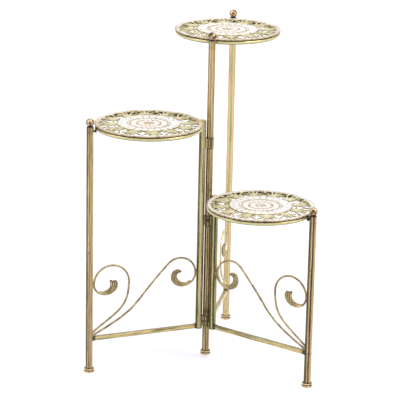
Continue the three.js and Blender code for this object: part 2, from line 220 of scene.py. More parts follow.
def pierced(us, vs, field, upper, lower, extra=None):
    """A sheet over a grid that is solid where field > 0. us closes on itself after its last
    value, vs doesn't. upper and lower turn (u, v) into points of the two faces."""
    vs = np.concatenate([[vs[0]], vs, [vs[-1]]])
    step = us[1] - us[0]
    u_grid, v_grid = np.meshgrid(us, vs, indexing="ij")
    s = field(u_grid, v_grid)
    s[np.abs(s) < 1e-4] = 1e-4
    s[:, 0] = -1.0
    s[:, -1] = -1.0
    count_u, count_v = s.shape
    index = -np.ones(s.shape, int)
    solid = s > 0
    index[solid] = np.arange(solid.sum())
    flat_u = list(u_grid[solid])
    flat_v = list(v_grid[solid])
    crossings = {}

    def crossing(i, j, k, m):
        """The point where the field is 0 on the way between two neighbours of the grid."""
        key = (i, j, k, m) if (i, j) < (k, m) else (k, m, i, j)
        if key not in crossings:
            share = s[i, j] / (s[i, j] - s[k, m])
            other = us[k] + (step * count_u if k == 0 and i == count_u - 1 else 0.0)
            mine = us[i] + (step * count_u if i == 0 and k == count_u - 1 else 0.0)
            flat_u.append(mine + share * (other - mine))
            flat_v.append(vs[j] + share * (vs[m] - vs[j]))
            crossings[key] = len(flat_u) - 1
        return crossings[key]

    faces = []
    rims = []
    for i in range(count_u):
        n = (i + 1) % count_u
        for j in range(count_v - 1):
            corners = [(i, j), (n, j), (n, j + 1), (i, j + 1)]
            inside = [solid[c] for c in corners]
            if all(inside):
                faces.append([index[c] for c in corners])
                continue
            if not any(inside):
                continue
            outline = []
            events = []
            for k in range(4):
                here = corners[k]
                there = corners[(k + 1) % 4]
                if inside[k]:
                    outline.append(index[here])
                if inside[k] != inside[(k + 1) % 4]:
                    point = crossing(*here, *there)
                    outline.append(point)
                    events.append((inside[k], point))
            for k, (leaves, point) in enumerate(events):
                if leaves:
                    rims.append((point, events[(k + 1) % len(events)][1]))
            faces.append(outline)
    u = np.array(flat_u)
    v = np.array(flat_v)
    total = len(u)
    points = np.vstack([upper(u, v), lower(u, v)])
    every = [tuple(f) for f in faces]
    every += [tuple(p + total for p in reversed(f)) for f in faces]
    every += [(b, a, a + total, b + total) for a, b in rims]
    values = {}
    for key, function in (extra or {}).items():
        values[key] = np.concatenate([function(u, v, True), function(u, v, False)])
    return points, every, values


# ---- materials ----
BUMP_DEPTH = 0.00012


class Graph:
    """Builds the node tree of a material or a world, step by step."""

    def __init__(self, owner):
        owner.use_nodes = True
        self.nodes = owner.node_tree.nodes
        self.links = owner.node_tree.links
        self.nodes.clear()

    def add(self, kind, inputs, **settings):
        """A new node. inputs tells each socket what to link or which value to take."""
        node = self.nodes.new("ShaderNode" + kind)
        for key, value in settings.items():
            setattr(node, key, value)
        for key, value in inputs.items():
            socket = node.inputs[key]
            if isinstance(value, bpy.types.NodeSocket):
                self.links.new(value, socket)
            else:
                socket.default_value = (*value, 1.0) if socket.type == "RGBA" else value
        return node


class Paint(Graph):
    """A paint built on the 'flow' coordinates of a piece."""

    def __init__(self, name):
        self.material = bpy.data.materials.new(name)
        super().__init__(self.material)
        self.flow = self.attribute("flow", "Vector")

    def attribute(self, name, output="Fac"):
        return self.add("Attribute", {}, attribute_name=name).outputs[output]

    def noise(self, scale, detail, rough, shift):
        """Noise on the flow coordinates; scale is per metre, along and across the flow."""
        location = (shift, shift * 1.7, shift * 0.6)
        place = self.add("Mapping", {"Vector": self.flow, "Location": location, "Scale": scale})
        node = self.add("TexNoise", {
            "Vector": place.outputs[0], "Scale": 1.0, "Detail": detail, "Roughness": rough,
        })
        return node.outputs["Fac"]

    def ramp(self, source, stops):
        node = self.add("ValToRGB", {0: source})
        items = node.color_ramp.elements
        while len(items) < len(stops):
            items.new(1.0)
        for item, (place, color) in zip(items, stops):
            item.position = place
            item.color = (*color, 1.0)
        return node.outputs["Color"]

    def mask(self, source, low, high):
        """0 below low, 1 above high, or the other way round when low > high."""
        inputs = {"Value": source, "From Min": low, "From Max": high}
        return self.add("MapRange", inputs, clamp=True).outputs[0]

    def math(self, kind, *values):
        return self.add("Math", dict(enumerate(values)), operation=kind).outputs[0]

    def plus(self, first, second):
        return self.math("ADD", first, second)

    def times(self, first, second):
        return self.math("MULTIPLY", first, second)

    def mix(self, share, first, second, kind="MIX"):
        inputs = {0: share, 6: first, 7: second}
        return self.add("Mix", inputs, data_type="RGBA", blend_type=kind).outputs[2]

    def finish(self, color, rough, bump, metallic, coat=0.25):
        bump = self.add("Bump", {"Strength": 0.6, "Distance": BUMP_DEPTH, "Height": bump})
        shader = self.add("BsdfPrincipled", {
            "Base Color": color, "Roughness": rough, "Metallic": metallic,
            "Coat Weight": coat, "Coat Roughness": 0.12, "Normal": bump.outputs[0],
        })
        self.add("OutputMaterial", {0: shader.outputs[0]})
        return self.material


BROWN = (0.055, 0.032, 0.018)
UMBER = (0.19, 0.115, 0.058)
TAN = (0.56, 0.370, 0.185)
GOLD = (0.64, 0.450, 0.180)
STRAW = (0.82, 0.640, 0.310)
OLIVE = (0.21, 0.190, 0.070)
MOSS = (0.11, 0.100, 0.036)
GREEN = (0.25, 0.295, 0.105)
PALE_GREEN = (0.58, 0.630, 0.290)
PEACH = (0.82, 0.560, 0.300)
ROSE = (0.56, 0.450, 0.320)
CREAM = (0.90, 0.840, 0.740)
IVORY = (0.89, 0.840, 0.620)
WHITE = (0.95, 0.930, 0.925)


def wear_and_shade(paint, color, width):
    """Specks of wear, small brown spots, and brown where 'dark' is high, which on most pieces is
    painted shade (see where each piece sets 'dark').
    """
    spots = paint.noise((0.35 / width, 0.8 / width, 0.8 / width), 4.0, 0.65, 5.3)
    color = paint.mix(paint.mask(spots, 0.64, 0.72), color, BROWN)
    wear = paint.noise((1.2 / width,) * 3, 4.0, 0.7, 1.9)
    color = paint.mix(paint.times(paint.mask(wear, 0.58, 0.74), 0.5), color, STRAW)
    # painted shade: brown where 'dark' is high, with a little wear mixed in
    corner = paint.plus(paint.attribute("dark"), paint.times(wear, 0.4))
    return paint.mix(paint.mask(corner, 0.45, 0.95), color, BROWN), wear


def streaked(name, length, width, metallic, rough, green, tones):
    """Antique gold paint brushed along the flow, with green and brown streaks.
    length and width are the streaks' sizes in metres."""
    paint = Paint(name)
    scale = (1 / length, 1 / width, 1 / width)
    base = paint.noise(scale, 3.0, 0.6, 0.0)
    color = paint.ramp(base, tones)
    veil = paint.noise(tuple(v * 0.8 for v in scale), 2.0, 0.5, 3.7)
    veil = paint.mask(veil, 0.60 - 0.12 * green, 0.70 - 0.08 * green)
    tint = paint.ramp(paint.noise(scale, 1.0, 0.5, 9.1), [(0.42, GREEN), (0.58, PALE_GREEN)])
    color, wear = wear_and_shade(paint, paint.mix(paint.times(veil, 0.75), color, tint), width)
    gloss = paint.math("MULTIPLY_ADD", paint.mask(base, 0.2, 0.8), 0.18, rough - 0.09)
    return paint.finish(color, gloss, wear, metallic)


def reflection_banded(name, bands, metallic=0.75, rough=0.26, shades=(0.42, 0.76, 0.94), upper=None):
    """Antique gold and olive paint on a tube, with painted reflections and shade laid over it as
    long bands of highlight and dark that run its whole length.
    bands are (degrees round the tube, colour); 'round' holds the way round as (cos, sin).
    shades darken the brushed grain; upper are the bands where 'upper' is 1."""
    paint = Paint(name)
    parts = paint.add("SeparateXYZ", {0: paint.attribute("round", "Vector")})
    angle = paint.math("ARCTAN2", parts.outputs["Y"], parts.outputs["X"])
    waver = paint.noise((9.0, 60.0, 60.0), 2.0, 0.5, 2.3)
    ragged = paint.noise((22.0, 420.0, 420.0), 4.0, 0.65, 6.1)
    offset = paint.plus(paint.times(waver, 0.55), paint.times(ragged, 0.50))
    angle = paint.plus(angle, paint.math("SUBTRACT", offset, 0.52))
    place = paint.mask(angle, -math.pi, math.pi)

    def painted(stops):
        return paint.ramp(place, [((degrees + 180) / 360, tone) for degrees, tone in stops])

    color = painted(bands)
    if upper:
        color = paint.mix(paint.attribute("upper"), color, painted(upper))
    brushed = paint.noise((14.0, 300.0, 300.0), 3.0, 0.6, 7.7)
    grain = paint.ramp(brushed, [(at, (v, v, v)) for at, v in zip((0.30, 0.50, 0.70), shades)])
    color, wear = wear_and_shade(paint, paint.mix(1.0, color, grain, "MULTIPLY"), 0.0035)
    gloss = paint.math("MULTIPLY_ADD", brushed, 0.20, rough - 0.09)
    return paint.finish(color, gloss, wear, metallic, 0.12)


def whitewashed(name):
    """Cream whitewash over olive gold: thick where 'wash' is high, brown in the low ground
    given by 'relief', warmer where 'pale' is 1."""
    paint = Paint(name)
    pale = paint.attribute("pale")
    fine = paint.noise((420.0,) * 3, 4.0, 0.6, 0.0)
    broad = paint.noise((120.0,) * 3, 3.0, 0.55, 4.0)
    ground = paint.mix(pale, paint.ramp(broad, [
        (0.34, UMBER), (0.42, OLIVE), (0.48, GOLD), (0.54, PALE_GREEN), (0.60, STRAW),
        (0.70, TAN),
    ]), paint.ramp(broad, [
        (0.38, UMBER), (0.46, TAN), (0.54, ROSE), (0.60, GOLD), (0.68, TAN),
    ]))
    low = paint.mask(paint.attribute("relief"), 0.46, 0.10)
    ground = paint.mix(paint.times(low, 0.85), ground, BROWN)
    patchy = paint.math("SUBTRACT", paint.noise((26.0,) * 3, 2.0, 0.5, 8.0), 0.5)
    grainy = paint.times(paint.math("SUBTRACT", fine, 0.5), 0.8)
    # cream whitewash, and painted highlights along the leaf veins, where the wash value is high
    cover = paint.plus(paint.plus(paint.attribute("wash_and_highlight"), grainy), paint.times(patchy, 0.9))
    top = paint.mix(paint.mask(broad, 0.50, 0.72), WHITE, CREAM)
    color = paint.mix(paint.mask(cover, 0.37, 0.63), ground, paint.mix(pale, IVORY, top))
    # painted shade: brown where 'dark' is high, which is under the plate
    color = paint.mix(paint.mask(paint.attribute("dark"), 0.3, 0.9), color, BROWN)
    gloss = paint.math("MULTIPLY_ADD", fine, 0.25, 0.32)
    return paint.finish(color, gloss, fine, 0.10, 0.15)


# painted reflections and shade round each post, as bands of highlight and dark, in degrees from the
# middle of its front, to the right and round
POST_PAINTS = {
    "middle_outer_post": reflection_banded("left_leg_paint", [
        (-180, OLIVE), (-110, TAN), (-84, TAN), (-72, UMBER), (-30, UMBER), (-23, STRAW),
        (-13, STRAW), (-8, OLIVE), (-1, OLIVE), (6, GOLD), (24, TAN), (44, TAN), (58, STRAW),
        (72, CREAM), (86, TAN), (120, GOLD), (150, GREEN), (180, OLIVE),
    ]),
    "low_outer_post": reflection_banded("right_leg_paint", [
        (-180, GREEN), (-115, GOLD), (-84, UMBER), (-66, BROWN), (-34, UMBER), (-24, GOLD),
        (-13, STRAW), (-5, UMBER), (2, BROWN), (14, BROWN), (24, TAN), (44, GOLD), (66, PEACH),
        (84, TAN), (140, OLIVE), (180, GREEN),
    ]),
    "middle_inner_post": reflection_banded("middle_inner_paint", [
        (-180, GOLD), (-120, GREEN), (-84, STRAW), (-64, OLIVE), (-48, MOSS), (-28, MOSS),
        (-18, GOLD), (-6, PALE_GREEN), (14, STRAW), (22, OLIVE), (32, GOLD), (48, OLIVE),
        (62, GOLD), (78, UMBER), (130, TAN), (180, GOLD),
    ]),
    "low_inner_post": reflection_banded("low_inner_paint", [
        (-180, TAN), (-120, OLIVE), (-84, GOLD), (-60, OLIVE), (-44, MOSS), (-30, GREEN),
        (-16, STRAW), (-6, GREEN), (4, BROWN), (18, BROWN), (30, GOLD), (44, GREEN),
        (60, PALE_GREEN), (78, OLIVE), (120, GOLD), (180, TAN),
    ]),
    "centre_post": reflection_banded("centre_post_paint", [
        (-180, GOLD), (-110, STRAW), (-84, UMBER), (-48, UMBER), (-38, GOLD), (-30, STRAW),
        (-18, GOLD), (-11, MOSS), (2, MOSS), (10, GOLD), (28, TAN), (44, OLIVE), (56, TAN),
        (84, STRAW), (130, OLIVE), (180, GOLD),
    ], upper=[
        (-180, GOLD), (-110, STRAW), (-84, TAN), (-62, UMBER), (-46, TAN), (-34, STRAW),
        (-14, STRAW), (-6, OLIVE), (2, GOLD), (14, STRAW), (26, TAN), (40, TAN), (52, UMBER),
        (64, STRAW), (84, CREAM), (130, OLIVE), (180, GOLD),
    ]),
    # painted light: the rear post's bands and grain are lighter than the other posts'
    "rear_post": reflection_banded("rear_post_paint", [
        (-180, TAN), (-120, GOLD), (-84, TAN), (-64, TAN), (-48, PEACH), (-30, PEACH), (-16, STRAW),
        (-6, PALE_GREEN), (6, PALE_GREEN), (14, GOLD), (24, STRAW), (34, PEACH), (50, PEACH),
        (66, TAN), (130, STRAW), (180, TAN),
    ], shades=(0.64, 0.88, 0.98)),
}
RAIL_PAINT = streaked("rail_paint", 0.060, 0.0030, 0.5, 0.34, 0.6, [
    (0.34, UMBER), (0.42, OLIVE), (0.50, GOLD), (0.60, STRAW), (0.72, TAN),
])
CAST_PAINT = streaked("cast_paint", 0.010, 0.0050, 0.55, 0.26, 0.25, [
    (0.32, UMBER), (0.42, TAN), (0.50, PEACH), (0.60, STRAW), (0.72, TAN),
])
BALL_PAINT = streaked("ball_paint", 0.008, 0.0060, 0.6, 0.30, 0.15, [
    (0.38, BROWN), (0.46, UMBER), (0.54, TAN), (0.64, PEACH), (0.74, ROSE),
])
BAR_PAINT = streaked("bar_paint", 0.018, 0.0035, 0.5, 0.36, 0.4, [
    (0.38, UMBER), (0.46, OLIVE), (0.54, TAN), (0.64, GOLD), (0.74, STRAW),
])
# painted light: a lighter copy of the bar paint, for the rear panel's rail and scroll bars
LIT_BACK_BAR_PAINT = streaked("lit_back_bar_paint", 0.018, 0.0035, 0.5, 0.36, 0.3, [
    (0.34, TAN), (0.42, GOLD), (0.52, STRAW), (0.62, CREAM), (0.72, PEACH),
])
LEAF_PAINT = streaked("leaf_paint", 0.020, 0.0040, 0.4, 0.38, 0.8, [
    (0.30, UMBER), (0.40, TAN), (0.50, GOLD), (0.60, STRAW), (0.72, TAN),
])
RING_PAINT = streaked("ring_paint", 0.050, 0.0030, 0.5, 0.30, 0.6, [
    (0.32, TAN), (0.42, STRAW), (0.50, PALE_GREEN), (0.60, STRAW), (0.72, GOLD),
])
# painted reflections and shade on the hinge sleeves: bands of highlight and dark round them, like
# the posts'
HINGE_PAINT = reflection_banded("hinge_paint", [
    (-180, TAN), (-110, OLIVE), (-80, TAN), (-62, STRAW), (-40, CREAM), (-30, UMBER), (-18, MOSS),
    (-6, GOLD), (6, OLIVE), (14, BROWN), (24, MOSS), (38, GOLD), (60, TAN), (90, UMBER), (180, TAN),
], 0.5, 0.34)
TRAY_PAINT = whitewashed("tray_paint")


def flow_upright(points, seed):
    """Streaks that run up a piece whose own axis is Z."""
    x, y, z = points.T * MM
    return np.column_stack([z + seed * 0.37, x + seed * 0.11, y])


def way_round(points, panel):
    """The way round a tube, as (cos, sin, 0): 0 degrees is at the front."""
    around = np.arctan2(points[:, 1], points[:, 0]) + math.radians(PANELS[panel][0] - FRONT)
    return np.column_stack([np.cos(around), np.sin(around), np.zeros(len(points))])


# ---- posts, balls, caps and feet ----
FRONT = 280.65  # the way from the stand to the camera, in degrees round +Z
UPPER_START = 530.0  # a post's paint turns into its upper paint from here up
UPPER_REACH = 80.0
PLUG_RADIUS = BORE_RADIUS - 0.3
POST_EASE = (0.3, 0.1)  # how much the last two rings at a tube's end are drawn in


def add_post(panel, name, x, bottom, top, seed, corners):
    """A tube with eased ends. corners are (height, reach, amount) of brown bands round the tube."""
    heights = [bottom, bottom + 0.15, bottom + 0.45, *np.linspace(bottom + 3, top - 3, 60),
               top - 0.45, top - 0.15, top]
    eased = [POST_RADIUS - ease for ease in POST_EASE]
    radii = eased + [POST_RADIUS] * (len(heights) - 4) + eased[::-1]
    bore = [(BORE_RADIUS, top), (BORE_RADIUS, bottom)]
    points, faces = lathe([bore[1], *zip(radii, heights), *bore], 56)
    dark = np.zeros(len(points))
    # darker at both ends, where the ball, cap or foot covers the tube, and at each of the corners
    for height, reach, amount in ((top, 4.0, 0.5), (bottom, 4.0, 0.5), *corners):
        dark = np.maximum(dark, amount * bell(points[:, 2], height, reach))
    piece(name + "_tube", to_row(points, panel, (x, 0, 0)), faces, panel + "_panel",
          POST_PAINTS[name], [name], {
              "flow": flow_upright(points, seed), "dark": dark,
              "round": way_round(points, panel),
              "upper": np.clip((points[:, 2] - UPPER_START) / UPPER_REACH, 0, 1),
          })


BALL_RADIUS = 9.3
BALL_SINK = 1.1  # how far the ball sits in its neck
NECK_RADIUS = 5.5
NECK_HEIGHT = 2.0
# painted shade on one side of each ball: degrees to the right of the front, degrees up, and how
# dark
BALL_SHADE = {
    "centre_ball": (-55, 45, 0.85), "rear_ball": (60, 50, 0.5),
    "middle_ball": (-85, -5, 0.75), "low_ball": (20, -25, 0.45),
}


def add_ball(panel, name, x, top, seed):
    centre = NECK_HEIGHT + BALL_RADIUS - BALL_SINK
    start = math.acos((BALL_RADIUS - BALL_SINK) / BALL_RADIUS)
    rings = 22
    profile = [(0, -7.5), (PLUG_RADIUS, -7.5), (PLUG_RADIUS, 0.1), (POST_RADIUS - 0.7, 0.2),
               (POST_RADIUS - 0.3, 0.7), (POST_RADIUS - 0.9, 1.2), (NECK_RADIUS, 1.5),
               (NECK_RADIUS, NECK_HEIGHT - 0.1)]
    for k in range(rings):
        a = start + (math.pi - start) * k / rings
        profile.append((BALL_RADIUS * math.sin(a), centre - BALL_RADIUS * math.cos(a)))
    profile.append((0, centre + BALL_RADIUS))
    points, faces = lathe(profile, 48)
    side, rise, amount = BALL_SHADE[name]
    way = math.radians(FRONT + side - PANELS[panel][0])
    rise = math.radians(rise)
    toward = (math.cos(way) * math.cos(rise), math.sin(way) * math.cos(rise), math.sin(rise))
    facing = ((points - (0, 0, centre)) @ np.array(toward)) / BALL_RADIUS
    # painted shade in the groove of the neck and on one side of the ball, as set in the table above
    dark = np.maximum(bell(points[:, 2], 1.7, 1.5), amount * np.clip((facing - 0.3) / 0.6, 0, 1))
    piece(name + "_finial", to_row(points, panel, (x, 0, top)), faces, panel + "_panel",
          BALL_PAINT, [name], {"flow": flow_upright(points, seed), "dark": dark})


def add_cap(panel, name, x, top, seed):
    profile = [(0, -1.3), (PLUG_RADIUS, -1.3), (PLUG_RADIUS, 0.1), (POST_RADIUS, 0.1, 1),
               (POST_RADIUS, 0.9, 1), (POST_RADIUS - 1.8, 1.75, 1), (0, 1.9)]
    points, faces = lathe(rounded(profile, 0.5, 3), 48)
    piece(name + "_plug", to_row(points, panel, (x, 0, top)), faces, panel + "_panel",
          CAST_PAINT, [name], {"flow": flow_upright(points, seed)})


FOOT_RADIUS = 12.1
FOOT_WAIST = 10.3


def add_foot(panel, name, x, lift, seed):
    profile = [
        (0, 0), (10.9, 0, 1), (FOOT_RADIUS, 1.0, 1), (FOOT_RADIUS, 3.2, 1),
        (FOOT_WAIST, 4.4, 1), (FOOT_WAIST, 5.8, 1), (FOOT_RADIUS, 6.9, 1), (FOOT_RADIUS, 9.3, 1),
        (POST_RADIUS + 0.9, 9.45, 1), (POST_RADIUS + 0.02, 8.9), (POST_RADIUS + 0.02, 4.1),
        (0, 4.1),
    ]
    points, faces = lathe(rounded(profile, 0.7, 4), 56)
    outer = np.hypot(points[:, 0], points[:, 1])
    # painted shade in the waist and round the post where it goes in
    dark = 1.1 * bell(points[:, 2], 5.1, 1.3) + 0.8 * (outer < POST_RADIUS + 1.6)
    piece(name + "_spool", to_row(points, panel, (x, 0, lift)), faces, panel + "_panel",
          CAST_PAINT, [name], {"flow": flow_upright(points, seed), "dark": dark})


# ---- rails ----
RAIL_EDGE = 1.3  # radius of a rail's long edges
# how far a weld bead stands out, at each distance from a rail's end
RAIL_BEAD = {0.0: 0.55, 0.7: 0.75, 1.6: 0.55, 2.6: 0.12, 3.4: 0.0}


def add_rail(panel, name, start, height, seed):
    """A square tube with rounded edges, fitted and welded to the posts at its ends."""
    half = RAIL_SIZE / 2
    section = []
    for quarter in range(4):
        cy = (half - RAIL_EDGE) * (1 if quarter in (0, 3) else -1)
        cz = (half - RAIL_EDGE) * (1 if quarter in (0, 1) else -1)
        for k in range(6):
            a = math.radians(90 * quarter + 18 * k)
            section.append((cy + RAIL_EDGE * math.cos(a), cz + RAIL_EDGE * math.sin(a)))
    stations = [*RAIL_BEAD, *np.linspace(8, PANEL_WIDTH / 2, 12)]
    stations += [PANEL_WIDTH - s for s in reversed(stations[:-1])]
    points = []
    for s in stations:
        from_end = min(s, PANEL_WIDTH - s)
        grow = RAIL_BEAD.get(round(from_end, 6), 0.0)
        for k, (y, z) in enumerate(section):
            fit = math.sqrt((POST_RADIUS - 0.05) ** 2 - min(abs(y), 6.0) ** 2)
            lump = grow * (1 + 0.25 * math.sin(k * 2.1 + seed + s))
            scale = 1 + lump / half
            reach = fit + from_end
            x = reach if s < PANEL_WIDTH / 2 else PANEL_WIDTH - reach
            if from_end > 7:
                x = s if s > POST_RADIUS + 1 else reach
            points.append((x, y * scale, z * scale))
    shape = (len(stations), len(section))
    points = np.array(points)
    flow = points * MM + (seed, 0, 0)
    end = np.minimum(points[:, 0], PANEL_WIDTH - points[:, 0]) - POST_RADIUS
    # darker near both ends, and painted shade along the top face
    dark = 0.9 * bell(end, 0, 5.0) + 0.45 * (points[:, 2] > half - 0.2)
    paint = LIT_BACK_BAR_PAINT if panel == "rear" else RAIL_PAINT
    piece(name + "_bar", to_row(points, panel, (start, 0, height)),
          tube_faces(*shape) + end_faces(*shape), panel + "_panel", paint, [name],
          {"flow": flow, "dark": dark})


# ---- hinge sleeves ----
SLEEVE_INNER = 8.2
WEB_HALF = 2.6  # half the web's thickness between its beads


def add_sleeve(panel, name, bottom, height, hole, seed):
    """A sleeve round the centre post; hole is the screw hole's (degrees, height) or None."""
    around = np.linspace(0, TAU, 64, endpoint=False)
    between = np.linspace(1.2, height - 1.2, 22 if height == LONG_SLEEVE else 10)
    rows = np.array([0, 0.25, 0.6, *between, height - 0.6, height - 0.25, height])

    def field(u, v):
        if hole is None:
            return np.ones_like(u)
        gap = (u - math.radians(hole[0]) + math.pi) % TAU - math.pi
        return np.hypot(gap * SLEEVE_RADIUS, (v - hole[1]) * 0.62) - 3.1

    def upper(u, v):
        edge = np.minimum(v, height - v)
        ease = 0.35 * np.clip(1 - edge / 0.6, 0, 1) ** 2
        lump = 0.10 * np.sin(3 * u + seed) * np.sin(v * 0.9 + seed)
        radius = SLEEVE_SEEN - ease + lump
        return np.column_stack([radius * np.cos(u), radius * np.sin(u), v])

    def lower(u, v):
        return np.column_stack([SLEEVE_INNER * np.cos(u), SLEEVE_INNER * np.sin(u), v])

    points, faces, _ = pierced(around, rows, field, upper, lower)
    web = web_between(SLEEVE_BORE + 0.5, HINGE_OFFSET - POST_RADIUS + 0.4, height, seed)
    points, faces = joined(points, faces, *web)
    radius = np.hypot(points[:, 0], points[:, 1])
    edge = np.minimum(points[:, 2], height - points[:, 2])
    # painted shade inside the bore, which shows through the screw hole, and darker at both ends
    dark = np.maximum(1.2 * (radius < SLEEVE_SEEN - 0.6), 0.8 * bell(edge, 0, 1.2))
    piece(name + "_barrel", to_row(points, panel, (0, 0, bottom)), faces, panel + "_panel",
          HINGE_PAINT, [name], {
              "flow": flow_upright(points, seed), "dark": dark,
              "round": way_round(points, panel),
          })


def web_between(start, end, height, seed):
    """The welded web from a sleeve to its post, with bulging weld beads."""
    columns = np.linspace(0, 1, 7)
    rows = np.linspace(0, 1, 13)
    points = []
    for c in columns:
        for side in (1, -1):
            for r in rows[::side]:
                ripple = 0.7 + 0.3 * math.sin(9 * r * math.pi + seed)
                bead = 0.9 * (1 - math.sin(math.pi * c)) * ripple
                points.append((start + (end - start) * c, side * (WEB_HALF + bead),
                               height * (0.02 + 0.96 * r)))
    shape = (len(columns), 2 * len(rows))
    return np.array(points), tube_faces(*shape) + flat_ends(*shape)


# ---- trays ----
BORDER_START = 70.0
BORDER_WIDTH = 42.0
BAND_WIDTH = 1.9  # the plain bands on both sides of the leaf border
RIM_START = 112.15
LEAF_TURN = math.radians(15)


def bezier(a, b, c, steps=26):
    t = np.linspace(0, 1, steps)[:, None]
    return (1 - t) ** 2 * np.array(a) + 2 * t * (1 - t) * np.array(b) + t**2 * np.array(c)


# lobes of half an acanthus leaf: three points (to the side, outwards) and three half-widths
LOBES = [
    ((0.0, 1.0), (0.0, 20.0), (0.0, 41.0), (2.6, 3.4, 3.2)),
    ((1.5, 6.0), (4.8, 23.0), (12.0, 38.4), (1.7, 2.7, 1.6)),
    ((2.0, 5.0), (9.0, 18.0), (21.6, 28.0), (1.8, 2.8, 1.3)),
    ((2.0, 3.5), (8.0, 6.5), (17.5, 11.0), (1.8, 2.5, 1.1)),
]
# grooves round the medallion: radius and half-width
MEDALLION_LINES = ((66.4, 0.6), (48.6, 0.7), (42.6, 1.1), (28.0, 0.7), (24.6, 0.8), (12.2, 0.7))
# small openings between petals: share of a petal to the side, radius, how much shorter than
# wide they count, half-width, and the radii between which they may lie
MEDALLION_SLOTS = ((0.0, 60.5, 0.5, 1.25, 50, 66), (0.5, 39.2, 0.6, 0.95, 30, 43))


def lobes_at(side, out):
    """Greatest depth inside any lobe, and distance to that lobe's vein."""
    depth = np.full(side.shape, -99.0)
    vein = np.full(side.shape, 99.0)
    for a, b, c, widths in LOBES:
        line = bezier(a, b, c)
        t = np.linspace(0, 1, len(line))
        half = np.interp(t, [0, 0.55, 1], widths)
        best = np.full(side.shape, -99.0)
        near = np.full(side.shape, 99.0)
        for (x, y), w in zip(line, half):
            distance = np.hypot(side - x, out - y)
            best = np.maximum(best, w - distance)
            near = np.minimum(near, distance)
        deeper = best > depth
        depth = np.where(deeper, best, depth)
        vein = np.where(deeper, near, vein)
    return depth, vein


def leaf_frame(u, v):
    """Angle to the nearest leaf's axis, and distances to the side and outwards from it."""
    # a gap lies at each multiple of 30 degrees and a leaf half way between two gaps
    a = LEAF_TURN - np.abs((u + LEAF_TURN) % (2 * LEAF_TURN) - LEAF_TURN)
    return a, v * a, v - BORDER_START


def tray_parts(u, v):
    """Field, relief (0 to 1) and whitewash with painted vein highlights (0 to 1) of a tray plate.
    """
    a, side, out = leaf_frame(u, v)
    from_gap = v * (LEAF_TURN - a)
    depth, vein = lobes_at(side, out)
    bud = 4.2 - np.hypot(from_gap, (out - 39.5) * 0.42)
    inner_band = BAND_WIDTH - out
    outer_band = out - (BORDER_WIDTH - 2.1)
    solid = np.maximum.reduce([depth, bud, inner_band, outer_band])
    field = np.where((out > 0) & (out < BORDER_WIDTH), solid, 9.0)
    # relief of the border
    rise = np.clip(depth / 1.7, 0, 1)
    rise = np.sqrt(1 - (1 - rise) ** 2)
    ridge = bell(vein, 0, 0.85) * np.clip((out - 4) / 6, 0, 1)
    relief = 0.04 + 0.72 * rise + 0.2 * ridge
    bulge = np.sqrt(np.clip(bud / 3.0, 0, 1))
    relief = np.maximum(relief, 0.85 * bulge)
    plain = (inner_band > 0) | (outer_band > 0)
    relief = np.where(plain, np.maximum(relief, 0.30), relief)
    # cream along the raised veins and on the buds: whitewash that also stands in for painted
    # highlights where they catch the light
    wash_and_highlight = 0.14 + 0.78 * ridge * rise
    wash_and_highlight = np.maximum(wash_and_highlight, 0.62 * (bulge > 0.9))
    # rim
    rim = np.clip((v - RIM_START + 0.6) / 0.8, 0, 1)
    line = bell(v, 114.2, 0.5) + bell(v, 118.7, 0.6)
    relief = np.where(v > RIM_START - 0.6, np.maximum(relief * (1 - rim), 0.98 * rim), relief)
    relief = relief - 0.16 * line * (v > RIM_START)
    wash_and_highlight = np.where(v > RIM_START - 0.2, 0.60 - 0.42 * line, wash_and_highlight)
    wash_and_highlight = np.where(v > 119.3, 0.16, wash_and_highlight)
    # medallion
    outer_fan = petal_row(u, v, 24, 0.0, 56.5, 8.5)
    middle_fan = petal_row(u, v, 24, 0.5, 35.0, 6.5)
    inner_fan = petal_row(u, v, 12, 0.0, 18.5, 6.5)
    fans = np.maximum.reduce([outer_fan, middle_fan, inner_fan])
    lines = np.clip(sum(bell(v, *line) for line in MEDALLION_LINES), 0, 1)
    carved = 0.40 + 0.55 * np.sqrt(fans) - 0.30 * lines
    band = np.clip((1 - np.abs(v - 68.4) / 1.9) * 2.2, 0, 1)
    carved = np.maximum(carved, 0.50 + 0.50 * band)
    beads = np.clip(1 - np.hypot(petal_gap(u, 48) * v, v - 45.6) / 1.6, 0, 1)
    carved = np.maximum(carved, 0.50 + 0.40 * np.sqrt(beads))
    carved = np.where(v < 12.2, 0.99 - 0.25 * bell(v, 7.5, 0.9), carved)
    medallion = v < BORDER_START
    relief = np.where(medallion, carved, relief)
    ground = np.clip(1 - fans / 0.30, 0, 1) * (v < 65) * (beads < 0.1)
    inside = 0.92 - 0.66 * lines - 0.56 * ground
    inside = np.where(v > 69.0, 0.12, inside)
    wash_and_highlight = np.where(medallion, inside, wash_and_highlight)
    for shift, centre, squash, size, low, high in MEDALLION_SLOTS:
        slot = np.hypot(petal_gap(u, 24, shift) * v, (v - centre) * squash) - size
        field = np.where((v > low) & (v < high), np.minimum(field, slot), field)
    return field, np.clip(relief, 0, 1), np.clip(wash_and_highlight, 0, 1)


def petal_row(u, v, count, shift, centre, reach):
    """Height, 0 to 1, of a row of rounded petals round the medallion."""
    pitch = TAU / count
    across = ((u / pitch + shift + 0.5) % 1.0 - 0.5) * 2
    return np.clip(1 - across**2 * 1.25 - ((v - centre) / reach) ** 4, 0, 1)


def petal_gap(u, count, shift=0.0):
    """Angle to the nearest gap between two of the medallion's petals."""
    pitch = TAU / count
    return np.abs((u + shift * pitch) % pitch - pitch / 2)


RELIEF_HEIGHT = 1.5
UNDERSIDE = {"medallion": -2.9, "border": -2.6}  # how deep the pressed underside lies
EDGE_EASE = 1.1  # radius of the plate's upper edge


